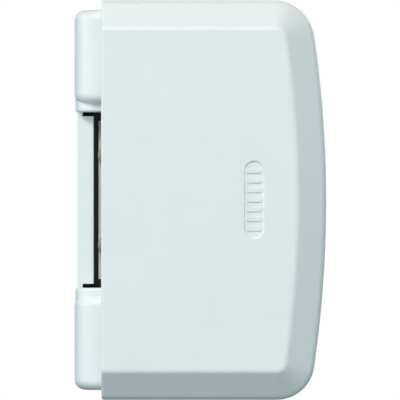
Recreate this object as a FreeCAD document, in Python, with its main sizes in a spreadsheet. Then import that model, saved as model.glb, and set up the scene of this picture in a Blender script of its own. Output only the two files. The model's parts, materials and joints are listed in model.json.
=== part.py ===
"""Door contact sensor built into a hinge-side door guard.

Frame: origin on the closing line between frame part and leaf part, at mid height, on the mounting surface.
+X runs across the leaf part, +Y runs into the door, +Z is up. All sizes are in millimetres.
The frame part (x < 0 and the plate under the cover's edge) stays on the door frame. The leaf part swings.
"""

import FreeCAD
import Part
import math
import os
import re

import Sketcher

Vector = FreeCAD.Vector
Rotation = FreeCAD.Rotation
TOLERANCE = 1e-3
CAPACITORS_IN_ROW = 5
STOPS_PER_END = 2
RIBS_EACH_WAY = 3

DIMENSIONS = {
    # front cover
    "cover_width": 70.3,
    "cover_half": 62.5,
    "cover_depth": 30.0,
    "cover_wall": 2.2,
    "cover_gap": 0.3,
    "cover_corner": 11.8,
    "bow_radius": 363.0,
    "bevel_run": 9.1,
    "bevel_rise": 7.0,
    "shoulder_round": 3.5,
    "face_round": 2.5,
    "edge_round": 0.7,
    "gate_depth": 9.8,
    "gate_half": 58.0,
    "stop_width": 5.0,
    "stop_front": 8.0,
    "stop_left": 20.0,
    "stop_pitch": 26.0,
    "stop_half": 56.6,
    "badge_x": 47.6,
    "badge_width": 6.3,
    "badge_height": 24.6,
    "badge_depth": 0.5,
    "badge_draft": -38.0,
    "badge_rib": 0.3,
    "badge_rib_half": 2.1,
    "badge_rib_width": 1.2,
    "badge_rib_pitch": 3.0,
    # swing between the two parts
    "hinge_out": 17.5,
    # frame part: moulding
    "ear_width": 8.7,
    "ear_depth": 16.5,
    "ear_inner": 30.2,
    "ear_outer": 59.75,
    "ear_round": 8.0,
    "ear_dome": 3.2,
    "ear_cap": 3.1,
    "ear_gap": 0.2,
    "flange_width": 8.5,
    "flange_depth": 13.5,
    "flange_inner": 27.7,
    "flange_run": 8.0,
    "flange_round": 6.5,
    "flange_lip": 0.8,
    "core_lip": 0.3,
    "frame_wall": 1.4,
    "strip_left": 7.85,
    "strip_right": 2.7,
    "strip_depth": 9.0,
    "strip_wall": 1.2,
    "spine_width": 1.6,
    "strip_end": 26.4,
    "strip_round": 0.5,
    # frame part: plates and their screws
    "spacer_thick": 2.0,
    "frame_plate_front": 4.5,
    "frame_plate_left": 6.3,
    "frame_plate_right": 9.3,
    "frame_plate_half": 57.6,
    "frame_plate_notch": 1.25,
    "notch_end": 28.7,
    "relief_end": 25.0,
    "relief_right": 1.0,
    "plate_play": 0.1,
    "frame_screw_x": 2.5,
    "frame_screw_z": 14.2,
    "frame_hole": 2.2,
    "frame_head": 3.95,
    "frame_head_high": 2.5,
    "spare_hole_x": 5.4,
    "spare_hole_z": 23.6,
    "spare_hole": 2.25,
    # magnet and its holder
    "magnet_left": 3.6,
    "magnet_right": 7.6,
    "magnet_front": 9.2,
    "magnet_back": 5.7,
    "magnet_half": 6.0,
    "holder_wall": 1.2,
    "holder_front": 9.5,
    "holder_half": 8.5,
    # claws and catches
    "claw_inner": 8.5,
    "claw_outer": 12.5,
    "claw_angle": 22.5,
    "claw_low": 37.0,
    "claw_high": 52.8,
    "claw_clear": 0.4,
    "catch_angle": 26.0,
    "catch_back": 13.2,
    "catch_left": 6.3,
    "catch_right": 0.4,
    "catch_front": 13.5,
    "catch_low": 33.0,
    "catch_high": 57.0,
    "catch_chamfer": 2.5,
    "catch_bolt": 1.25,
    "catch_bolt_head": 2.4,
    "catch_bolt_length": 6.5,
    "catch_bolt_x": 3.4,
    "catch_bolt_edge": 1.85,
    "foot_front": 6.2,
    "foot_left": 12.0,
    "foot_right": 29.7,
    "arm_overlap": 3.0,
    "rivet": 2.0,
    "rivet_head": 3.4,
    "rivet_crown": 2.55,
    "rivet_crown_high": 1.3,
    "rivet_head_high": 1.6,
    "rivet_x": 19.0,
    "rivet_pitch": 7.0,
    # leaf plate
    "leaf_left": 10.0,
    "leaf_right": 62.0,
    "leaf_half": 57.5,
    "leaf_thick": 3.0,
    "leaf_corner": 6.0,
    "leaf_hole": 2.6,
    "leaf_sink": 5.0,
    "leaf_hole_x": 35.0,
    "leaf_hole_pitch": 20.0,
    "leaf_hole_z": 48.0,
    # chassis
    "tray_left": 11.0,
    "tray_right": 62.0,
    "tray_bottom": 34.0,
    "tray_top": 31.5,
    "tray_front": 4.8,
    "tray_rim": 8.0,
    "rim_wall": 1.0,
    "tray_screw": 1.25,
    "tray_screw_left": 13.5,
    "tray_screw_right": 58.6,
    "tray_screw_high": 27.5,
    "tray_screw_low": 30.5,
    "tray_bore": 1.4,
    "tray_head": 2.4,
    "tray_head_high": 1.5,
    "pillar": 2.4,
    # circuit board
    "board_back": 8.0,
    "board_front": 9.2,
    "board_left": 11.8,
    "board_right": 60.0,
    "board_low": 28.5,
    "board_high": 9.0,
    "board_corner": 1.2,
    "board_screw": 0.9,
    "board_bore": 1.1,
    "board_head": 1.9,
    "board_head_high": 1.2,
    "board_screw_length": 3.4,
    "board_screw_left": 17.5,
    "board_screw_right": 56.5,
    "board_screw_low": 25.4,
    "board_screw_high": 5.4,
    # parts on the board
    "chip_x": 27.5,
    "chip_z": 5.0,
    "chip_size": 7.0,
    "chip_high": 1.1,
    "shield_x": 48.5,
    "shield_z": 5.0,
    "shield_width": 13.0,
    "shield_height": 12.0,
    "shield_high": 2.4,
    "shield_wall": 0.3,
    "passive_x": 22.8,
    "passive_z": 12.8,
    "passive_pitch": 3.0,
    "passive_width": 1.6,
    "passive_height": 0.8,
    "capacitor": 2.5,
    "capacitor_high": 5.5,
    "capacitor_x": 36.5,
    "capacitor_z": 4.0,
    "crystal_x": 34.6,
    "crystal_z": 4.0,
    "crystal_width": 3.2,
    "crystal_height": 5.0,
    "crystal_high": 1.0,
    "reed_x": 13.7,
    "reed_out": 10.8,
    "reed_radius": 1.1,
    "reed_length": 14.0,
    "lead_radius": 0.3,
    "lead_reach": 3.0,
    "aerial_x": 58.4,
    "aerial_out": 18.0,
    "aerial_low": 20.0,
    "aerial_high": 2.0,
    "aerial_bend": 2.0,
    "aerial_wire": 0.5,
    # battery and contacts
    "cell_radius": 8.5,
    "cell_length": 34.5,
    "cell_start": 19.2,
    "cell_out": 14.0,
    "cell_z": 20.6,
    "cell_button": 3.2,
    "cell_button_high": 2.2,
    "cell_edge": 0.6,
    "cell_shoulder": 0.8,
    "cell_play": 0.1,
    "cradle_wall": 1.1,
    "cradle_spring_end": 3.2,
    "cradle_end": 2.4,
    "trough_start": 2.0,
    "terminal_half": 3.0,
    "terminal_thick": 0.6,
    "cell_coil": 3.0,
    "cell_coil_wire": 0.2,
    "cell_coil_pitch": 0.55,
    "cell_coil_start": 1.55,
    # tamper switch
    "tamper_x": 33.0,
    "tamper_z": 21.0,
    "switch_half": 3.0,
    "tamper_front": 15.0,
    "tamper_bore": 1.5,
    "tamper_bore_deep": 5.2,
    "plunger": 1.45,
    "plunger_back": 11.6,
    "plunger_length": 7.0,
    "plunger_edge": 0.55,
    "tamper_coil": 1.05,
    "tamper_coil_wire": 0.22,
    "tamper_coil_pitch": 0.62,
    "tamper_coil_start": 10.08,
    "post_radius": 1.8,
    "post_end": 19.0,
    # learn button
    "button_x": 47.0,
    "button_z": 20.0,
    "button_front": 12.7,
    "button_bore": 1.8,
    "button_bore_deep": 2.5,
    "button_cap": 1.75,
    "button_back": 11.0,
    "button_length": 4.0,
    "button_edge": 0.35,
    # pan heads, as fractions of the head's radius or height
    "head_chamfer": 0.45,
    "recess_reach": 0.55,
    "recess_half": 0.13,
    "recess_depth": 0.6,
    # how far a cutting tool runs past the surface it opens
    "past": 1.0,
}

doc = FreeCAD.newDocument("door_contact_sensor")
sheet = doc.addObject("Spreadsheet::Sheet", "dims")
for row, (alias, size) in enumerate(DIMENSIONS.items(), start=1):
    sheet.set(f"A{row}", alias)
    sheet.set(f"B{row}", str(size))
    sheet.setAlias(f"B{row}", alias)
doc.recompute()

NODES = []


def bound(formula):
    """Turns a formula of dimension names into an expression that reads the sheet."""
    return re.sub(r"[a-z][a-z_]*", lambda word: "dims." + word.group(0), str(formula))


def size_of(formula):
    """The present value of a formula of dimension names."""
    return float(sheet.evalExpression(bound(formula)))


def drive(target, formulas):
    for prop, formula in formulas.items():
        target.setExpression(prop, bound(formula))


def place(target, x=0, y=0, z=0, rotation=None):
    target.Placement = FreeCAD.Placement(Vector(0, 0, 0), rotation or Rotation())
    drive(target, {"Placement.Base.x": x, "Placement.Base.y": y, "Placement.Base.z": z})
    return target


def node(label, target):
    """Marks an object as a finished sub-part; its label names its file."""
    target.Label = label
    NODES.append(target)
    return target


# ---- primitives and booleans -------------------------------------------------

ALONG_X = Rotation(Vector(0, 1, 0), 90)
ALONG_Y = Rotation(Vector(1, 0, 0), -90)
OUTWARD = Rotation(Vector(1, 0, 0), 90)


def block(name, x, y, z):
    """A box from the low and high formula of each axis."""
    box = doc.addObject("Part::Box", name)
    for prop, (low, high) in zip(("Length", "Width", "Height"), (x, y, z)):
        drive(box, {prop: f"({high}) - ({low})"})
    return place(box, x[0], y[0], z[0])


def cylinder(name, radius, length, x, y, z, rotation):
    rod = doc.addObject("Part::Cylinder", name)
    drive(rod, {"Radius": radius, "Height": length})
    return place(rod, x, y, z, rotation)


def fuse(name, *shapes):
    joined = doc.addObject("Part::MultiFuse", name)
    joined.Shapes = list(shapes)
    joined.Refine = True
    return joined


def cut(name, base, *tools):
    result = doc.addObject("Part::Cut", name)
    result.Base = base
    result.Tool = tools[0] if len(tools) == 1 else fuse(name + "_tools", *tools)
    result.Refine = True
    return result


def group(name, *shapes):
    compound = doc.addObject("Part::Compound", name)
    compound.Links = list(shapes)
    return compound


def mirrored(name, source):
    """The same shape on the other side of the middle height."""
    copy = doc.addObject("Part::Mirroring", name)
    copy.Source = source
    copy.Normal = Vector(0, 0, 1)
    return copy


def sector(name, radius, low_z, high_z, start, sweep):
    """A pie slice about the swing axis, its angles counted from straight back towards the frame."""
    slice_ = doc.addObject("Part::Cylinder", name)
    drive(slice_, {"Radius": radius, "Height": f"{high_z} - ({low_z})", "Angle": f"{sweep} - {start}"})
    turn = 90 + size_of(start)
    return place(slice_, 0, "-hinge_out", low_z, Rotation(Vector(0, 0, 1), turn))


# ---- sketched bodies ---------------------------------------------------------


def near(a, b):
    return abs(a - b) < TOLERANCE


def edges_where(shape, test):
    return [f"Edge{i}" for i, edge in enumerate(shape.Edges, start=1) if test(edge.BoundBox)]


def sketch(body, name, role, offset=0):
    drawing = body.newObject("Sketcher::SketchObject", name)
    plane = next(f for f in body.Origin.OriginFeatures if f.Role == role)
    drawing.AttachmentSupport = [(plane, "")]
    drawing.MapMode = "FlatFace"
    drive(drawing, {"AttachmentOffset.Base.z": offset})
    return drawing


def polygon(body, name, role, corners, offset=0):
    """A closed outline of straight sides whose corners are formulas."""
    drawing = sketch(body, name, role, offset)
    spots = [Vector(size_of(a), size_of(b), 0) for a, b in corners]
    last = len(spots) - 1
    for i, spot in enumerate(spots):
        drawing.addGeometry(Part.LineSegment(spot, spots[0 if i == last else i + 1]))
    for i in range(len(spots)):
        drawing.addConstraint(Sketcher.Constraint("Coincident", i, 2, 0 if i == last else i + 1, 1))
    for i, (spot, corner) in enumerate(zip(spots, corners)):
        for kind, value, formula in zip(("DistanceX", "DistanceY"), spot, corner):
            where = drawing.addConstraint(Sketcher.Constraint(kind, -1, 1, i, 1, value))
            drawing.renameConstraint(where, f"{kind}_{i}")
            drive(drawing, {f"Constraints.{kind}_{i}": formula})
    return drawing


def rectangle(body, name, role, across, up, offset=0):
    corners = [(across[0], up[0]), (across[1], up[0]), (across[1], up[1]), (across[0], up[1])]
    return polygon(body, name, role, corners, offset)


def circles(body, name, role, radius, centres, offset=0):
    drawing = sketch(body, name, role, offset)
    for i, (a, b) in enumerate(centres):
        circle = Part.Circle(Vector(size_of(a), size_of(b), 0), Vector(0, 0, 1), size_of(radius))
        drawing.addGeometry(circle)
        for kind, formula in (("DistanceX", a), ("DistanceY", b)):
            value = size_of(formula)
            where = drawing.addConstraint(Sketcher.Constraint(kind, -1, 1, i, 3, value))
            drawing.renameConstraint(where, f"{kind}_{i}")
            drive(drawing, {f"Constraints.{kind}_{i}": formula})
        where = drawing.addConstraint(Sketcher.Constraint("Radius", i, size_of(radius)))
        drawing.renameConstraint(where, f"radius_{i}")
        drive(drawing, {f"Constraints.radius_{i}": radius})
    return drawing


def feature(body, kind, name, drawing, formulas, **settings):
    """Adds a sketched feature, and makes sure that it changed the solid."""
    before = body.Shape.Volume if body.Tip else 0.0
    made = body.newObject("PartDesign::" + kind, name)
    made.Profile = drawing
    for prop, value in settings.items():
        setattr(made, prop, value)
    drive(made, formulas)
    doc.recompute()
    if abs(made.Shape.Volume - before) < TOLERANCE:
        raise RuntimeError(f"{body.Name}.{name} changed nothing")
    return made


def fillet(body, name, radius, test):
    base = body.Tip
    rounding = body.newObject("PartDesign::Fillet", name)
    rounding.Base = (base, edges_where(base.Shape, test))
    drive(rounding, {"Radius": radius})
    doc.recompute()
    return rounding


def turned(name, profile, x, y, z, rotation):
    """A turned body: a half profile of (radius, height) formulas spun about its own Z axis."""
    body = doc.addObject("PartDesign::Body", name)
    drawing = polygon(body, name + "_profile", "XZ_Plane", profile)
    feature(body, "Revolution", name + "_turn", drawing, {}, ReferenceAxis=(drawing, ["V_Axis"]), Angle=360)
    return place(body, x, y, z, rotation)


def cross_screw(name, head, head_high, shank, length, x, y, z):
    """A pan-head screw with a cross recess, driven from the front; x, y, z is the seat under its head."""
    chamfer = f"{head_high} * head_chamfer"
    profile = [
        ("0", f"-({length})"),
        (shank, f"-({length})"),
        (shank, "0"),
        (head, "0"),
        (head, f"{head_high} - {chamfer}"),
        (f"{head} - {chamfer}", head_high),
        ("0", head_high),
    ]
    body = turned(name, profile, x, y, z, OUTWARD)
    long, thin = f"{head} * recess_reach", f"{head} * recess_half"
    for side, across, up in (("a", long, thin), ("b", thin, long)):
        slot_name = f"{name}_slot_{side}"
        slot = rectangle(body, slot_name, "XY_Plane", (f"-({across})", across), (f"-({up})", up), head_high)
        feature(body, "Pocket", f"{name}_recess_{side}", slot, {"Length": f"{head_high} * recess_depth"})
    return body


def coil(name, radius, wire, pitch, turns, centre, rotation, start, start_rotation):
    """A spring of round wire about centre, swept from its first section at start."""
    spine = doc.addObject("Part::Helix", name + "_spine")
    drive(spine, {"Pitch": pitch, "Height": f"{turns} * {pitch}", "Radius": radius})
    place(spine, *centre, rotation)
    section = doc.addObject("Part::Circle", name + "_section")
    drive(section, {"Radius": wire})
    place(section, *start, start_rotation)
    sweep = doc.addObject("Part::Sweep", name)
    sweep.Sections = [section]
    sweep.Spine = (spine, ["Edge1"])
    sweep.Solid = True
    sweep.Frenet = True
    return sweep


def drilled_plate(name, outline, front, back, holes):
    """A flat plate between two depths with groups of round holes through it."""
    body = doc.addObject("PartDesign::Body", name)
    drawing = polygon(body, name + "_outline", "XZ_Plane", outline, back)
    thickness = {"Length": f"{front} - ({back})"}
    feature(body, "Pad", name + "_sheet", drawing, thickness)
    for i, (radius, centres) in enumerate(holes):
        bores = circles(body, f"{name}_holes_{i}", "XZ_Plane", radius, centres, back)
        feature(body, "Pocket", f"{name}_drilled_{i}", bores, thickness, Reversed=True)
    return body


def countersunk(body, name, radius, sink, centres, offset, from_back=False):
    """Countersunk holes through a plate, their heads on the face at offset."""
    spots = circles(body, name + "_spots", "XZ_Plane", radius, centres, offset)
    doc.recompute()
    hole = body.newObject("PartDesign::Hole", name)
    hole.Profile = spots
    hole.DepthType = "ThroughAll"
    hole.HoleCutType = "Countersink"
    hole.HoleCutCountersinkAngle = 90
    hole.Reversed = from_back
    drive(hole, {"Diameter": f"2 * {radius}", "HoleCutDiameter": f"2 * {sink}"})
    doc.recompute()


# ---- frame part --------------------------------------------------------------


def ear_barrel(name, inset):
    """The upper ear, a half-round barrel with a domed inner end."""
    left, right = f"-ear_width + {inset}", f"-ear_gap + {inset}"
    low, top = f"ear_inner + {inset}", f"ear_outer - {inset}"
    body = doc.addObject("PartDesign::Body", name)
    outline = rectangle(body, name + "_outline", "XZ_Plane", (left, right), (low, top), f"-({inset})")
    feature(body, "Pad", name + "_bar", outline, {"Length": "ear_depth"})
    left_x, right_x, top_z, low_z = size_of(left), size_of(right), size_of(top), size_of(low)
    front_y, back_y = size_of(f"-ear_depth + {inset}"), size_of(inset)

    def is_corner(edge):
        return near(edge.XMax, left_x) and near(edge.YMax, front_y)

    def is_closed_side(edge):
        return not near(edge.YMin, back_y) and not near(edge.XMin, right_x)

    def is_inner_end(edge):
        return near(edge.ZMax, low_z) and is_closed_side(edge)

    def is_outer_end(edge):
        return near(edge.ZMin, top_z) and is_closed_side(edge)

    fillet(body, name + "_round", f"ear_round - {inset}", is_corner)
    fillet(body, name + "_dome", f"ear_dome - {inset}", is_inner_end)
    fillet(body, name + "_cap", f"ear_cap - {inset}", is_outer_end)
    return body


def flange(name, inset, lip):
    """The smaller barrel that leads into the upper ear's inner end."""
    left, right, front = f"-flange_width + {inset}", f"-ear_gap + {inset}", f"-flange_depth + {inset}"
    body = doc.addObject("PartDesign::Body", name)
    section = rectangle(
        body, name + "_section", "XY_Plane", (left, right), (front, inset), f"flange_inner + {inset}"
    )
    feature(body, "Pad", name + "_run", section, {"Length": "flange_run"})
    left_x, front_y, low_z = size_of(left), size_of(front), size_of(f"flange_inner + {inset}")
    right_x, back_y = size_of(f"-ear_gap + {inset}"), size_of(inset)

    def is_corner(edge):
        return near(edge.XMax, left_x) and near(edge.YMax, front_y)

    def is_inner_end(edge):
        return near(edge.ZMax, low_z) and not near(edge.YMin, back_y) and not near(edge.XMin, right_x)

    fillet(body, name + "_round", f"flange_round - {inset}", is_corner)
    fillet(body, name + "_lip", lip, is_inner_end)
    return body


def ear(name, inset, lip):
    """The upper ear with its flange, drawn in by inset; the inner copy runs out at the open sides."""
    return fuse(name, ear_barrel(name + "_barrel", inset), flange(name + "_flange", inset, lip))


def frame_cover():
    """One moulding: two hollow ears, their flanges, and the strip that joins them."""
    shell = cut("ear_shell", ear("ear_skin", "0", "flange_lip"), ear("ear_core", "frame_wall", "core_lip"))
    lower = mirrored("ear_shell_low", shell)
    strip = block(
        "strip_body",
        ("-strip_left", "-strip_right"),
        ("-strip_depth", "-spacer_thick"),
        ("-strip_end", "strip_end"),
    )
    strip_core = block(
        "strip_core",
        ("-strip_left + strip_wall", "-strip_right - strip_wall"),
        ("-strip_depth + strip_wall", "0"),
        ("-strip_end + strip_wall", "strip_end - strip_wall"),
    )
    hollow = cut("strip_hollow", strip, strip_core)
    doc.recompute()
    right, front = size_of("-strip_right"), size_of("-strip_depth")
    radius = size_of("strip_round")
    rounded = doc.addObject("Part::Fillet", "strip_rounded")
    rounded.Base = hollow
    rounded.Edges = [
        (i, radius, radius)
        for i, edge in enumerate(hollow.Shape.Edges, start=1)
        if near(edge.BoundBox.XMin, right) and near(edge.BoundBox.YMax, front)
    ]
    spine = block(
        "strip_spine",
        ("-strip_left", "-strip_left + spine_width"),
        ("-strip_depth", "0"),
        ("-flange_inner - past", "flange_inner + past"),
    )
    plate_room = block(
        "plate_room",
        ("-frame_plate_left - plate_play", "past"),
        ("-frame_plate_front - plate_play", "past"),
        ("-frame_plate_half - plate_play", "frame_plate_half + plate_play"),
    )
    moulding = fuse("frame_cover_moulding", shell, lower, rounded, spine)
    node("frame_cover", cut("frame_cover_fitted", moulding, plate_room))


def both_ends(spots):
    """The spots and their copies on the other side of the middle height."""
    return spots + [(x, f"-({z})") for x, z in spots]


FRAME_SCREWS = both_ends([("frame_screw_x", "frame_screw_z")])
SPARE_HOLES = both_ends([("spare_hole_x", "spare_hole_z")])
CATCH_BOLTS = [
    ("-catch_bolt_x", "catch_low + catch_bolt_edge"),
    ("-catch_bolt_x", "catch_high - catch_bolt_edge"),
]


def frame_plates():
    """The plastic levelling plate, the steel plate in front of it and the two screws that hold both."""
    left, right, half = "-frame_plate_left", "frame_plate_right", "frame_plate_half"
    plain = [(left, f"-{half}"), (right, f"-{half}"), (right, half), (left, half)]
    notch, relief = "-frame_plate_notch", "relief_right"
    upper_notch = [
        (left, "notch_end"),
        (relief, "notch_end"),
        (relief, "relief_end"),
        (notch, "relief_end"),
    ]
    lower_notch = [(x, f"-{z}") for x, z in reversed(upper_notch)]
    holes = [("frame_hole", FRAME_SCREWS), ("spare_hole", SPARE_HOLES)]
    node("levelling_plate", drilled_plate("spacer", plain, "spacer_thick", "0", holes))
    keeper = drilled_plate(
        "keeper", plain + upper_notch + lower_notch, "frame_plate_front", "spacer_thick", holes
    )
    bolts = both_ends(CATCH_BOLTS)
    countersunk(keeper, "keeper_bolt_holes", "catch_bolt", "catch_bolt_head", bolts, "spacer_thick", True)
    node("frame_plate", keeper)
    size = ("frame_head", "frame_head_high", "frame_hole", "frame_plate_front")
    screws = [
        cross_screw(f"frame_screw_{i}", *size, x, "-frame_plate_front", z)
        for i, (x, z) in enumerate(FRAME_SCREWS)
    ]
    node("frame_plate_screws", group("frame_screw_set", *screws))


def catch_block(name):
    """A steel block with a curved pocket, open towards the leaf, that the claw turns into."""
    low, high = "claw_low - claw_clear", "claw_high + claw_clear"
    blank = block(
        name + "_blank",
        ("-catch_left", "-catch_right"),
        ("-catch_front", "-frame_plate_front"),
        ("catch_low", "catch_high"),
    )
    doc.recompute()
    size, left, front = size_of("catch_chamfer"), size_of("-catch_left"), size_of("-catch_front")
    bevelled = doc.addObject("Part::Chamfer", name + "_bevelled")
    bevelled.Base = blank
    bevelled.Edges = [
        (i, size, size)
        for i, edge in enumerate(blank.Shape.Edges, start=1)
        if near(edge.BoundBox.XMax, left) and near(edge.BoundBox.YMax, front)
    ]
    reach = sector(name + "_reach", "catch_back", low, high, "0", "catch_angle")
    radius, height = "claw_inner - claw_clear", f"{high} - ({low})"
    core = cylinder(name + "_core", radius, height, "0", "-hinge_out", low, Rotation())
    pocket = cut(name + "_pocket", reach, core)
    bolt_end = "-spacer_thick - catch_bolt_length"
    bores = [
        cylinder(f"{name}_bore_{i}", "catch_bolt", "catch_bolt_length", x, bolt_end, z, ALONG_Y)
        for i, (x, z) in enumerate(CATCH_BOLTS)
    ]
    return cut(name, bevelled, pocket, *bores)


def catches():
    upper = catch_block("catch_upper")
    node("catch_block_upper", upper)
    node("catch_block_lower", mirrored("catch_lower", upper))
    profile = [
        ("0", "-catch_bolt_length"),
        ("catch_bolt", "-catch_bolt_length"),
        ("catch_bolt", "catch_bolt - catch_bolt_head"),
        ("catch_bolt_head", "0"),
        ("0", "0"),
    ]
    bolts = [
        turned(f"catch_bolt_{i}", profile, x, "-spacer_thick", z, ALONG_Y)
        for i, (x, z) in enumerate(both_ends(CATCH_BOLTS))
    ]
    node("catch_block_screws", group("catch_bolt_set", *bolts))


def actuator():
    """The magnet and its holder, on the plate between the two visible screws."""
    holder = block(
        "holder_blank",
        ("magnet_left - holder_wall", "magnet_right + holder_wall"),
        ("-holder_front", "-frame_plate_front"),
        ("-holder_half", "holder_half"),
    )
    across, up = ("magnet_left", "magnet_right"), ("-magnet_half", "magnet_half")
    seat = block("holder_seat", across, ("-holder_front - past", "-magnet_back"), up)
    node("magnet_holder", cut("holder", holder, seat))
    node("magnet", block("magnet_bar", across, ("-magnet_front", "-magnet_back"), up))


# ---- leaf part ---------------------------------------------------------------

LEAF_HOLES = both_ends([("leaf_hole_x", "leaf_hole_z"), ("leaf_hole_x + leaf_hole_pitch", "leaf_hole_z")])
TRAY_SCREWS = [
    ("tray_screw_left", "tray_screw_high"),
    ("tray_screw_right", "tray_screw_high"),
    ("board_screw_left", "-tray_screw_low"),
    ("board_screw_right", "-tray_screw_low"),
]
RIVET_X = ["rivet_x", "rivet_x + rivet_pitch"]
RIVET_Z = "(claw_low + claw_high) / 2"
RIVETS = both_ends([(x, RIVET_Z) for x in RIVET_X])


def leaf_plate():
    outline = [
        ("leaf_left", "-leaf_half"),
        ("leaf_right", "-leaf_half"),
        ("leaf_right", "leaf_half"),
        ("leaf_left", "leaf_half"),
    ]
    holes = [("rivet", RIVETS), ("tray_screw", TRAY_SCREWS)]
    body = drilled_plate("base", outline, "leaf_thick", "0", holes)
    right = size_of("leaf_right")
    fillet(body, "base_corners", "leaf_corner", lambda b: near(b.XMin, right) and near(b.ZMin, b.ZMax))
    countersunk(body, "base_fixing_holes", "leaf_hole", "leaf_sink", LEAF_HOLES, "leaf_thick")
    node("leaf_plate", body)


def claw(name):
    """A cranked steel claw: a riveted foot, a straight arm and a hook curved about the swing axis."""
    up = ("claw_low", "claw_high")
    foot = block(name + "_foot", ("foot_left", "foot_right"), ("-foot_front", "-leaf_thick"), up)
    deep = ("claw_inner - hinge_out", "claw_outer - hinge_out")
    arm = block(name + "_arm", ("0", "foot_left + arm_overlap"), deep, up)
    outer = sector(name + "_hook_outer", "claw_outer", *up, "0", "claw_angle")
    height = "claw_high - claw_low"
    inner = cylinder(name + "_hook_inner", "claw_inner", height, "0", "-hinge_out", "claw_low", Rotation())
    hook = cut(name + "_hook", outer, inner)
    start = "-foot_front - past"
    bores = [
        cylinder(f"{name}_bore_{i}", "rivet", "foot_front + past", x, start, RIVET_Z, ALONG_Y)
        for i, x in enumerate(RIVET_X)
    ]
    return cut(name, fuse(name + "_blank", foot, arm, hook), *bores)


def claws():
    upper = claw("claw_up")
    node("claw_upper", upper)
    node("claw_lower", mirrored("claw_down", upper))
    profile = [
        ("0", "-foot_front"),
        ("rivet", "-foot_front"),
        ("rivet", "0"),
        ("rivet_head", "0"),
        ("rivet_crown", "rivet_crown_high"),
        ("0", "rivet_head_high"),
    ]
    rivets = [
        turned(f"rivet_{i}", profile, x, "-foot_front", z, OUTWARD)
        for i, (x, z) in enumerate(RIVETS)
    ]
    node("claw_rivets", group("rivet_set", *rivets))


BOARD_SCREWS = [
    ("board_screw_left", "-board_screw_low"),
    ("board_screw_left", "board_screw_high"),
    ("board_screw_right", "-board_screw_low"),
    ("board_screw_right", "board_screw_high"),
]


def tray():
    """The plastic chassis: a floor, a low rim open to the left of the cell, and the board's pillars."""
    across, up = ("tray_left", "tray_right"), ("-tray_bottom", "tray_top")
    floor = block("tray_floor", across, ("-tray_front", "-leaf_thick"), up)
    rim = block("tray_rim_outer", across, ("-tray_rim", "-tray_front"), up)
    hollow = block(
        "tray_rim_inner",
        ("tray_left - past", "tray_right - rim_wall"),
        ("-tray_rim - past", "-tray_front"),
        ("-tray_bottom + rim_wall", "tray_top - rim_wall"),
    )
    rise = "board_back - tray_front"
    pillars = [
        cylinder(f"pillar_{i}", "pillar", rise, x, "-board_back", z, ALONG_Y)
        for i, (x, z) in enumerate(BOARD_SCREWS)
    ]
    body = fuse("tray_solid", floor, cut("tray_rim_ring", rim, hollow), *pillars)
    bores = [
        cylinder(f"pillar_bore_{i}", "board_screw", "board_screw_length", x, "-board_back", z, ALONG_Y)
        for i, (x, z) in enumerate(BOARD_SCREWS)
    ]
    bores += [
        cylinder(f"tray_bore_{i}", "tray_bore", "tray_front", x, "-tray_front - past", z, ALONG_Y)
        for i, (x, z) in enumerate(TRAY_SCREWS)
    ]
    node("chassis", cut("tray_body", body, *bores))
    size = ("tray_head", "tray_head_high", "tray_screw", "tray_front - plate_play")
    screws = [
        cross_screw(f"tray_screw_{i}", *size, x, "-tray_front", z)
        for i, (x, z) in enumerate(TRAY_SCREWS)
    ]
    node("chassis_screws", group("tray_screw_set", *screws))


def on_board(name, x, z, width, height, rise):
    """A rectangular component standing on the front of the circuit board, about its centre."""
    return block(
        name,
        (f"{x} - {width} / 2", f"{x} + {width} / 2"),
        (f"-board_front - {rise}", "-board_front"),
        (f"{z} - {height} / 2", f"{z} + {height} / 2"),
    )


def circuit_board():
    outline = [
        ("board_left", "-board_low"),
        ("board_right", "-board_low"),
        ("board_right", "board_high"),
        ("board_left", "board_high"),
    ]
    body = drilled_plate("board", outline, "board_front", "board_back", [("board_bore", BOARD_SCREWS)])
    sides = [size_of("board_left"), size_of("board_right")]

    def is_corner(edge):
        is_through = near(edge.ZMin, edge.ZMax) and near(edge.XMin, edge.XMax)
        return is_through and any(near(edge.XMin, x) for x in sides)

    fillet(body, "board_corners", "board_corner", is_corner)
    node("circuit_board", body)
    size = ("board_head", "board_head_high", "board_screw", "board_screw_length")
    screws = [
        cross_screw(f"board_screw_{i}", *size, x, "-board_front", z)
        for i, (x, z) in enumerate(BOARD_SCREWS)
    ]
    node("board_screws", group("board_screw_set", *screws))


def board_parts():
    node("controller_chip", on_board("chip", "chip_x", "-chip_z", "chip_size", "chip_size", "chip_high"))
    shield = ("shield_x", "-shield_z", "shield_width", "shield_height", "shield_high")
    inside = block(
        "shield_inside",
        ("shield_x - shield_width / 2 + shield_wall", "shield_x + shield_width / 2 - shield_wall"),
        ("-board_front - shield_high + shield_wall", "-board_front + past"),
        ("-shield_z - shield_height / 2 + shield_wall", "-shield_z + shield_height / 2 - shield_wall"),
    )
    node("radio_shield", cut("shield", on_board("shield_outside", *shield), inside))

    size = ("passive_width", "passive_height", "passive_height")
    parts = [
        on_board(f"passive_{i}", f"(passive_x + {i} * passive_pitch)", "-passive_z", *size)
        for i in range(CAPACITORS_IN_ROW)
    ]
    at = ("capacitor_x", "-board_front - capacitor_high", "-capacitor_z")
    parts.append(cylinder("capacitor", "capacitor", "capacitor_high", *at, ALONG_Y))
    crystal = ("crystal_x", "crystal_z", "crystal_width", "crystal_height", "crystal_high")
    parts.append(on_board("crystal", *crystal))
    node("board_components", group("component_set", *parts))


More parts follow.
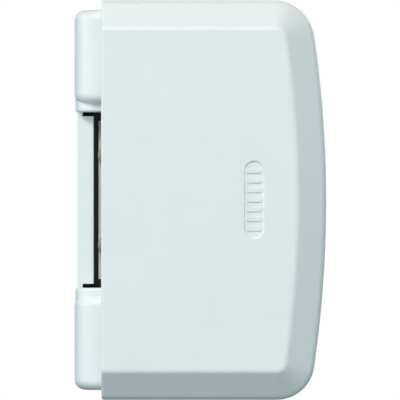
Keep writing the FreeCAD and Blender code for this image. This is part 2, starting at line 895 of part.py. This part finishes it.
def reed_contact():
    """The glass reed switch beside the magnet, standing clear of the board on its two bent leads."""
    at = ("reed_x", "-reed_out")
    glass = cylinder("reed_glass", "reed_radius", "reed_length", *at, "-reed_length", Rotation())
    node("reed_switch", glass)
    leads = []
    bottom = "-reed_length - lead_reach"
    for side, low, tip in (("upper", "0", "lead_reach"), ("lower", bottom, bottom)):
        wire = cylinder(f"lead_{side}", "lead_radius", "lead_reach", *at, low, Rotation())
        leg = cylinder(f"leg_{side}", "lead_radius", "reed_out - board_front", *at, tip, ALONG_Y)
        leads.append(fuse(f"bent_lead_{side}", wire, leg))
    node("reed_leads", group("lead_set", *leads))


def antenna():
    """A wire aerial that rises from the board and runs up beside it."""
    body = doc.addObject("PartDesign::Body", "aerial")
    path = sketch(body, "aerial_path", "YZ_Plane", "aerial_x")
    foot, out, top = size_of("-aerial_low"), size_of("-aerial_out"), size_of("aerial_high")
    bend, start = size_of("aerial_bend"), size_of("-board_front")
    quarter = Part.Circle(Vector(out + bend, foot + bend, 0), Vector(0, 0, 1), bend)
    path.addGeometry(Part.LineSegment(Vector(start, foot, 0), Vector(out + bend, foot, 0)))
    path.addGeometry(Part.ArcOfCircle(quarter, math.pi, 1.5 * math.pi))
    path.addGeometry(Part.LineSegment(Vector(out, foot + bend, 0), Vector(out, top, 0)))
    spot = [("aerial_x", "-aerial_low")]
    section = circles(body, "aerial_section", "XZ_Plane", "aerial_wire", spot, "board_front")
    doc.recompute()
    wire = body.newObject("PartDesign::AdditivePipe", "aerial_wire")
    wire.Profile = section
    wire.Spine = path
    node("antenna", body)


def power():
    """A cylindrical lithium cell lying across the top of the tray, its cradle and its two contacts."""
    shoulder, end = "cell_length - cell_button_high", "cell_start + cell_length"
    profile = [
        ("0", "0"),
        ("cell_radius - cell_edge", "0"),
        ("cell_radius", "cell_edge"),
        ("cell_radius", f"{shoulder} - cell_shoulder"),
        ("cell_radius - cell_shoulder", shoulder),
        ("cell_button", shoulder),
        ("cell_button", "cell_length"),
        ("0", "cell_length"),
    ]
    node("battery", turned("cell", profile, "cell_start", "-cell_out", "cell_z", ALONG_X))
    reach = "cell_radius + cradle_wall"
    cradle = block(
        "cell_cradle_blank",
        ("cell_start - cradle_spring_end", f"{end} + cradle_end"),
        ("-cell_out", "-tray_front"),
        (f"cell_z - ({reach})", f"cell_z + {reach}"),
    )
    radius, length = "cell_radius + cell_play", "cell_length + trough_start + terminal_thick * 2"
    trough = cylinder(
        "cell_trough", radius, length, "cell_start - trough_start", "-cell_out", "cell_z", ALONG_X
    )
    node("battery_holder", cut("cell_cradle", cradle, trough))
    clip = block(
        "cell_plus_plate",
        (end, f"{end} + terminal_thick"),
        ("-cell_out - terminal_half", "-cell_out + terminal_half"),
        ("cell_z - terminal_half", "cell_z + terminal_half"),
    )
    node("battery_terminal", clip)
    at = ("cell_start - cell_coil_start", "-cell_out", "cell_z")
    start = ("cell_start - cell_coil_start", "-cell_out", "cell_z - cell_coil")
    size = ("cell_coil", "cell_coil_wire", "cell_coil_pitch", "2")
    node("battery_spring", coil("cell_minus_coil", *size, at, ALONG_X, start, OUTWARD))


def case(name, x, z, front):
    """The square case of a small switch on the board."""
    return on_board(name, x, z, "2 * switch_half", "2 * switch_half", f"({front} - board_front)")


def tamper():
    """The tamper switch: a case, the plunger that the cover's post presses, and its spring."""
    x, z = "tamper_x", "-tamper_z"
    housing = case("tamper_housing", x, z, "tamper_front")
    bore = cylinder("tamper_bore_tool", "tamper_bore", "tamper_bore_deep", x, "-tamper_front", z, ALONG_Y)
    node("tamper_switch", cut("tamper_case", housing, bore))
    profile = [
        ("0", "0"),
        ("plunger", "0"),
        ("plunger", "plunger_length - plunger_edge"),
        ("plunger - plunger_edge", "plunger_length"),
        ("0", "plunger_length"),
    ]
    node("tamper_plunger", turned("plunger_pin", profile, x, "-plunger_back", z, OUTWARD))
    at, start = (x, "-tamper_coil_start", z), (f"{x} + tamper_coil", "-tamper_coil_start", z)
    size = ("tamper_coil", "tamper_coil_wire", "tamper_coil_pitch", "2")
    node("tamper_spring", coil("tamper_spring_coil", *size, at, OUTWARD, start, Rotation()))


def learn_button():
    x, z = "button_x", "-button_z"
    housing = case("button_housing", x, z, "button_front")
    bore = cylinder("button_bore_tool", "button_bore", "button_bore_deep", x, "-button_front", z, ALONG_Y)
    node("button_base", cut("button_case", housing, bore))
    profile = [
        ("0", "0"),
        ("button_cap", "0"),
        ("button_cap", "button_length - button_edge"),
        ("button_cap - button_edge", "button_length"),
        ("0", "button_length"),
    ]
    node("learn_button", turned("button_cap_body", profile, x, "-button_back", z, OUTWARD))


# ---- front cover -------------------------------------------------------------


def arc(x, y, radius, start, end):
    return Part.ArcOfCircle(Part.Circle(Vector(x, y, 0), Vector(0, 0, 1), radius), start, end)


def line(start_x, start_y, end_x, end_y):
    return Part.LineSegment(Vector(start_x, start_y, 0), Vector(end_x, end_y, 0))


def cover_outline(body, name, inset, offset):
    """The cover from the front: straight top, bottom and left, bowed right side, round right corners."""
    half, corner = size_of(f"cover_half - {inset}"), size_of(f"cover_corner - {inset}")
    bow, left = size_of(f"bow_radius - {inset}"), size_of(inset)
    centre = size_of("cover_width - bow_radius")
    rise = half - corner
    corner_x = centre + math.sqrt((bow - corner) ** 2 - rise**2)
    turn = math.atan2(rise, corner_x - centre)
    drawing = sketch(body, name, "XZ_Plane", offset)
    drawing.addGeometry(line(left, half, corner_x, half))
    drawing.addGeometry(arc(corner_x, rise, corner, turn, math.pi / 2))
    drawing.addGeometry(arc(centre, 0, bow, -turn, turn))
    drawing.addGeometry(arc(corner_x, -rise, corner, -math.pi / 2, -turn))
    drawing.addGeometry(line(corner_x, -half, left, -half))
    drawing.addGeometry(line(left, -half, left, half))
    return drawing


def cover_solid(name, inset, open_back):
    """The cover's outer form drawn in by inset, with its bevels on top, right and bottom."""
    slope = math.atan2(size_of("bevel_rise"), size_of("bevel_run"))
    narrowing = (1 - math.sin(slope)) / math.cos(slope)
    wall_top = f"cover_depth - bevel_rise - {inset} * {narrowing}"
    face = f"cover_depth - {inset}"
    body = doc.addObject("PartDesign::Body", name)
    plan = cover_outline(body, name + "_plan", inset, open_back)
    feature(body, "Pad", name + "_bulk", plan, {"Length": f"{face} - ({open_back})"})
    wall_y, face_y, left = -size_of(wall_top), -size_of(face), size_of(inset)
    past_left = left + size_of("past")

    def is_rim(edge, depth):
        return near(edge.YMin, depth) and near(edge.YMax, depth) and edge.XMax > past_left

    blank = body.Tip
    bevel = body.newObject("PartDesign::Chamfer", name + "_bevels")
    bevel.ChamferType = "Two distances"
    bevel.Base = (blank, edges_where(blank.Shape, lambda edge: is_rim(edge, face_y)))
    rise = f"({face} - ({wall_top}))"
    drive(bevel, {"Size": rise, "Size2": f"{rise} * bevel_run / bevel_rise"})
    doc.recompute()
    fillet(body, name + "_shoulder", f"shoulder_round - {inset}", lambda edge: is_rim(edge, wall_y))
    fillet(body, name + "_face_edge", f"face_round - {inset}", lambda edge: is_rim(edge, face_y))
    return body


def badge_recess(body):
    """A shallow oblong recess in the face, with sloping sides."""
    drawing = sketch(body, "badge_outline", "XZ_Plane", "cover_depth")
    x, radius = size_of("badge_x"), size_of("badge_width / 2")
    reach = size_of("(badge_height - badge_width) / 2")
    drawing.addGeometry(arc(x, reach, radius, 0, math.pi))
    drawing.addGeometry(line(x - radius, reach, x - radius, -reach))
    drawing.addGeometry(arc(x, -reach, radius, math.pi, 2 * math.pi))
    drawing.addGeometry(line(x + radius, -reach, x + radius, reach))
    feature(body, "Pocket", "badge_recess", drawing, {"Length": "badge_depth", "TaperAngle": "badge_draft"})


def front_cover():
    """The hollow cover: open at the back and along its left side, with a post for the tamper switch."""
    skin = cover_solid("cover_skin", "0", "cover_gap")
    back = size_of("-cover_gap")

    def is_left_edge(edge):
        return near(edge.XMax, 0) and not near(edge.YMin, back)

    fillet(skin, "cover_left_edges", "edge_round", is_left_edge)
    badge_recess(skin)
    core = cover_solid("cover_core", "cover_wall", "-past")
    across, up = ("-past", "cover_wall + past"), ("-gate_half", "gate_half")
    gate = block("cover_side_gate", across, ("-gate_depth", "past"), up)
    reach = "cover_depth - past - post_end"
    post = cylinder("tamper_post", "post_radius", reach, "tamper_x", "-post_end", "-tamper_z", OUTWARD)
    stops = []
    deep = ("-stop_front", "-leaf_thick - plate_play")
    top, bottom = ("stop_half", "cover_half - past"), ("past - cover_half", "-stop_half")
    for side, up in (("top", top), ("bottom", bottom)):
        for i in range(STOPS_PER_END):
            x = f"stop_left + {i} * stop_pitch"
            stops.append(block(f"cover_stop_{side}_{i}", (x, f"{x} + stop_width"), deep, up))
    rib_across = ("badge_x - badge_rib_half", "badge_x + badge_rib_half")
    rib_deep = ("-cover_depth + badge_depth - badge_rib", "-cover_depth + badge_depth")
    ribs = []
    for step in range(-RIBS_EACH_WAY, RIBS_EACH_WAY + 1):
        z = f"({step} * badge_rib_pitch)"
        rib_up = (f"{z} - badge_rib_width / 2", f"{z} + badge_rib_width / 2")
        ribs.append(block(f"badge_rib_{step + RIBS_EACH_WAY}", rib_across, rib_deep, rib_up))
    shell = cut("cover_shell", skin, core, gate)
    node("front_cover", fuse("cover_moulding", shell, post, *stops, *ribs))


# ---- assemble, check and write -----------------------------------------------

frame_cover()
frame_plates()
catches()
actuator()
leaf_plate()
claws()
tray()
circuit_board()
board_parts()
reed_contact()
antenna()
power()
tamper()
learn_button()
front_cover()
doc.recompute()

for item in doc.Objects:
    if "Invalid" in item.State or "Error" in item.State:
        raise RuntimeError(f"{item.Name} did not compute: {item.State}")
os.makedirs("parts", exist_ok=True)
for item in NODES:
    if item.Shape.isNull() or not item.Shape.isValid():
        raise RuntimeError(f"{item.Label} has no valid shape")
    box = item.Shape.optimalBoundingBox(True, False)
    spans = ((box.XMin, box.XMax), (box.YMin, box.YMax), (box.ZMin, box.ZMax))
    extent = "  ".join(f"{low:7.2f} {high:7.2f}" for low, high in spans)
    print(f"{item.Label:20s} solids {len(item.Shape.Solids)}  volume {item.Shape.Volume:9.1f}  {extent}")
    item.Shape.exportStep(os.path.join("parts", item.Label + ".step"))
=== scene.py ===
"""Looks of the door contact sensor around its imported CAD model, in metres, in the CAD's own frame."""

import json
import math

import bpy
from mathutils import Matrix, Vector


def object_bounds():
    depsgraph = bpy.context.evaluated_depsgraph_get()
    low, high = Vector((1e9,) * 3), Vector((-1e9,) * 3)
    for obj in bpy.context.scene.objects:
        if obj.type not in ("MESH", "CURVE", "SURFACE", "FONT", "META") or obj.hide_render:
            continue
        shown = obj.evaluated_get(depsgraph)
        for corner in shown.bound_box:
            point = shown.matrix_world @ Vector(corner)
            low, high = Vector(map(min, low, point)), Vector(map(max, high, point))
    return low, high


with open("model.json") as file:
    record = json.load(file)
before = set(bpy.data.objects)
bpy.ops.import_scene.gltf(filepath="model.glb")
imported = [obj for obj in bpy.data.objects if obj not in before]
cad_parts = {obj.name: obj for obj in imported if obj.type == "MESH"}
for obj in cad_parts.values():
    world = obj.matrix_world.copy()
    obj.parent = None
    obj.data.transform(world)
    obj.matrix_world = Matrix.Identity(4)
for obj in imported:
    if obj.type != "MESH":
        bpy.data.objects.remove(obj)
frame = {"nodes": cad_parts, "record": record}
cad_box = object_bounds()
nodes = frame["nodes"]
scene = bpy.context.scene
low, high = cad_box
centre = (low + high) / 2
height = high.z - low.z
MM = 0.001


# ---- node trees --------------------------------------------------------------

TINT_STOPS = (0.25, 0.75)


def times(color, factor):
    return [channel * factor for channel in color]


class Shader:
    """A principled material with helpers for procedural detail in the object's own metres."""

    def __init__(self, name, color, roughness, metallic=0.0):
        self.material = bpy.data.materials.new(name)
        self.material.use_nodes = True
        self.tree = self.material.node_tree
        self.out = self.tree.nodes["Principled BSDF"]
        self.out.inputs["Base Color"].default_value = (*color, 1)
        self.out.inputs["Roughness"].default_value = roughness
        self.out.inputs["Metallic"].default_value = metallic
        self.coords = self.add("ShaderNodeTexCoord").outputs["Object"]
        self.color = color

    def add(self, kind, **settings):
        made = self.tree.nodes.new(kind)
        for key, value in settings.items():
            setattr(made, key, value)
        return made

    def link(self, source, target):
        self.tree.links.new(source, target)

    def stretched(self, scale):
        mapping = self.add("ShaderNodeMapping")
        mapping.inputs["Scale"].default_value = scale
        self.link(self.coords, mapping.inputs["Vector"])
        return mapping.outputs["Vector"]

    def noise(self, size, stretch=(1, 1, 1), detail=2.0, roughness=0.5):
        """Noise whose grains are about size metres across."""
        texture = self.add("ShaderNodeTexNoise")
        texture.inputs["Scale"].default_value = 1 / size
        texture.inputs["Detail"].default_value = detail
        texture.inputs["Roughness"].default_value = roughness
        self.link(self.stretched(stretch), texture.inputs["Vector"])
        return texture.outputs["Fac"]

    def ramp(self, source, *stops):
        """Colours between two stops, each a place in 0..1 and the colour there."""
        ramp = self.add("ShaderNodeValToRGB")
        for element, (place, color) in zip(ramp.color_ramp.elements, stops):
            element.position = place
            element.color = (*color, 1)
        self.link(source, ramp.inputs["Fac"])
        return ramp.outputs["Color"]

    def spread(self, source, low, high):
        """Maps 0..1 to low..high."""
        span = self.add("ShaderNodeMapRange")
        span.inputs["To Min"].default_value = low
        span.inputs["To Max"].default_value = high
        self.link(source, span.inputs["Value"])
        return span.outputs["Result"]

    def tint(self, source, low, high):
        """Base colour that varies between two multiples of its own colour."""
        shades = (times(self.color, low), times(self.color, high))
        shade = self.ramp(source, *zip(TINT_STOPS, shades))
        self.link(shade, self.out.inputs["Base Color"])

    def rough(self, source, low, high):
        self.link(self.spread(source, low, high), self.out.inputs["Roughness"])

    def bump(self, source, height, strength):
        bump = self.add("ShaderNodeBump")
        bump.inputs["Strength"].default_value = strength
        bump.inputs["Distance"].default_value = height
        self.link(source, bump.inputs["Height"])
        self.link(bump.outputs["Normal"], self.out.inputs["Normal"])


# ---- materials ---------------------------------------------------------------

SPARK_GRAIN = 0.35 * MM
TOOL_MARK = 0.2 * MM
TRACK_UNIT = 8 * MM
TRACK_GLOW = 1.6
TRACKS = {"Scale": 1 / TRACK_UNIT, "Mortar Size": 0.014, "Brick Width": 1.7, "Row Height": 0.13}
TRACK_PATCHES = (0.47, 0.49)


def moulded(name, color, roughness):
    """Injection-moulded plastic: a fine spark texture and a faint cloudiness."""
    skin = Shader(name, color, roughness)
    skin.tint(skin.noise(14 * MM, detail=3), 0.985, 1.01)
    skin.rough(skin.noise(3 * MM), roughness - 0.04, roughness + 0.05)
    skin.bump(skin.noise(SPARK_GRAIN, detail=1), 0.006 * MM, 0.5)
    return skin.material


def plated_sheet(name, color, metallic):
    """Plated sheet steel, dulled by passivation, with a faint rolling direction."""
    metal = Shader(name, color, 0.5, metallic)
    metal.tint(metal.noise(5 * MM, detail=4, roughness=0.6), 0.82, 1.08)
    metal.rough(metal.noise(0.5 * MM, stretch=(1, 1, 0.06), detail=3), 0.42, 0.62)
    metal.bump(metal.noise(0.25 * MM, stretch=(1, 1, 0.05)), 0.01 * MM, 0.5)
    return metal.material


def board_laminate(name, color, roughness):
    """Solder mask over runs of copper track, which show as faint paler lines in patches."""
    mask = Shader(name, color, roughness)
    turned = mask.add("ShaderNodeMapping")
    turned.inputs["Rotation"].default_value = (math.radians(90), 0, 0)
    mask.link(mask.coords, turned.inputs["Vector"])
    tracks = mask.add("ShaderNodeTexBrick", offset=0.37, offset_frequency=3)
    for socket, value in TRACKS.items():
        tracks.inputs[socket].default_value = value
    mask.link(turned.outputs["Vector"], tracks.inputs["Vector"])
    bare, routed = TRACK_PATCHES
    patches = mask.ramp(mask.noise(11 * MM, detail=0), (bare, (0, 0, 0)), (routed, (1, 1, 1)))
    drawn = mask.add("ShaderNodeMath", operation="MULTIPLY")
    mask.link(tracks.outputs["Fac"], drawn.inputs[0])
    mask.link(patches, drawn.inputs[1])
    shade = mask.ramp(drawn.outputs["Value"], (0, color), (1, times(color, TRACK_GLOW)))
    mask.link(shade, mask.out.inputs["Base Color"])
    mask.rough(mask.noise(2 * MM), roughness - 0.06, roughness + 0.08)
    mask.bump(drawn.outputs["Value"], 0.02 * MM, 0.5)
    return mask.material


def machined(name, color, roughness, metallic=1.0):
    """Turned or milled steel: fine tool marks and a slightly uneven tone."""
    metal = Shader(name, color, roughness, metallic)
    metal.tint(metal.noise(2 * MM, detail=3), 0.86, 1.06)
    metal.rough(metal.noise(TOOL_MARK, detail=2), roughness - 0.08, roughness + 0.12)
    metal.bump(metal.noise(TOOL_MARK, stretch=(1, 0.15, 1)), 0.008 * MM, 0.4)
    return metal.material


MATERIALS = {
    "white_moulding": moulded("white_moulding", (0.775, 0.82, 0.82), 0.5),
    # The spacer plate's dark plastic is partly painted shade: it is made near-black so the deep gap
    # between the strip and the steel plate shows as dark as shade.
    "dark_plastic": moulded("dark_plastic", (0.018, 0.022, 0.018), 0.5),
    "grey_plastic": moulded("grey_plastic", (0.42, 0.43, 0.43), 0.48),
    "zinc_plate": plated_sheet("zinc_plate", (0.77, 0.83, 0.73), 0.3),
    "hard_steel": machined("hard_steel", (0.36, 0.365, 0.37), 0.36),
    "screw_steel": machined("screw_steel", (0.62, 0.66, 0.58), 0.3, metallic=0.45),
    "nickel_plate": machined("nickel_plate", (0.68, 0.66, 0.6), 0.2),
    "board_green": board_laminate("board_green", (0.02, 0.16, 0.06), 0.3),
    "chip_black": moulded("chip_black", (0.02, 0.02, 0.021), 0.4),
    "tinned_sheet": plated_sheet("tinned_sheet", (0.66, 0.66, 0.63), 0.9),
    "tinned_wire": machined("tinned_wire", (0.68, 0.68, 0.66), 0.25),
    "reed_glass": moulded("reed_glass", (0.55, 0.75, 0.66), 0.08),
    "cell_sleeve": moulded("cell_sleeve", (0.05, 0.11, 0.3), 0.25),
    "button_plastic": moulded("button_plastic", (0.6, 0.06, 0.04), 0.4),
}

for part in frame["record"]["subparts"]:
    piece = nodes[part["node"]]
    piece.data.materials.clear()
    piece.data.materials.append(MATERIALS[part["material_slot"]])


# ---- lights ------------------------------------------------------------------

LIGHT_AWAY = 2.4
WARM = (1, 0.95, 0.9)
COOL = (0.8, 0.95, 1)
NEUTRAL = (1, 1, 1)
# Azimuth and elevation in degrees, size in metres, power in watts, tint.
LIGHTS = {
    "key": (-15, 45, 0.7, 40, WARM),
    "left": (-75, 10, 1.0, 30, COOL),
    "right": (45, 5, 1.2, 14, COOL),
    "low": (5, -30, 1.0, 15, COOL),
    "back": (150, 25, 1.4, 55, NEUTRAL),
}


def softbox(name, azimuth, elevation, size, power, color):
    """A square area light that shines at the object; azimuth 0 is in front of it and 90 to its right."""
    lamp = bpy.data.lights.new(name, "AREA")
    lamp.energy = power
    lamp.color = color
    lamp.size = size
    holder = bpy.data.objects.new(name, lamp)
    scene.collection.objects.link(holder)
    turn, lift = math.radians(azimuth), math.radians(elevation)
    direction = Vector((math.sin(turn) * math.cos(lift), -math.cos(turn) * math.cos(lift), math.sin(lift)))
    holder.location = centre + direction * LIGHT_AWAY
    holder.rotation_euler = direction.to_track_quat("Z", "Y").to_euler()


for name, settings in LIGHTS.items():
    softbox(name, *settings)


# ---- floor -------------------------------------------------------------------
# The low light stands below the floor, so the floor casts no shadow and bounces no light.

FLOOR_DROP = 0.0475
FLOOR_RADIUS = 0.6
FLOOR_SIDES = 128
floor_place = (centre.x, centre.y, low.z - FLOOR_DROP)
bpy.ops.mesh.primitive_circle_add(
    vertices=FLOOR_SIDES, radius=FLOOR_RADIUS, fill_type="NGON", location=floor_place
)
floor = bpy.context.object
floor.name = "floor"
floor_paint = Shader("floor_paint", (0.82, 0.82, 0.82), 0.6)
floor_paint.tint(floor_paint.noise(60 * MM, detail=3), 0.98, 1.02)
floor.data.materials.append(floor_paint.material)
floor.visible_diffuse = False
floor.visible_glossy = False
floor.visible_shadow = False


# ---- world -------------------------------------------------------------------
# The camera sees white, and the object gets a weak cool fill.

FILL_STRENGTH = 0.07
world = bpy.data.worlds.new("studio")
scene.world = world
world.use_nodes = True
tree = world.node_tree
tree.nodes.clear()


def background(color, strength):
    shade = tree.nodes.new("ShaderNodeBackground")
    shade.inputs["Color"].default_value = (*color, 1)
    shade.inputs["Strength"].default_value = strength
    return shade.outputs["Background"]


seen = tree.nodes.new("ShaderNodeLightPath")
mix = tree.nodes.new("ShaderNodeMixShader")
result = tree.nodes.new("ShaderNodeOutputWorld")
tree.links.new(seen.outputs["Is Camera Ray"], mix.inputs["Fac"])
tree.links.new(background(COOL, FILL_STRENGTH), mix.inputs[1])
tree.links.new(background(NEUTRAL, 1), mix.inputs[2])
tree.links.new(mix.outputs["Shader"], result.inputs["Surface"])


# ---- camera ------------------------------------------------------------------
# The object's outline lies OUTLINE_DEPTH behind its front and fills the picture's height.

CAMERA_AWAY = 1.6
PICTURE_MARGIN = 1.0013
OUTLINE_DEPTH = 0.009
camera = bpy.data.cameras.new("camera")
camera.lens = camera.sensor_width * CAMERA_AWAY / (height * PICTURE_MARGIN)
viewer = bpy.data.objects.new("camera", camera)
scene.collection.objects.link(viewer)
viewer.location = (centre.x, low.y + OUTLINE_DEPTH - CAMERA_AWAY, centre.z)
viewer.rotation_euler = (math.radians(90), 0, 0)
scene.camera = viewer
scene.view_settings.view_transform = "Standard"
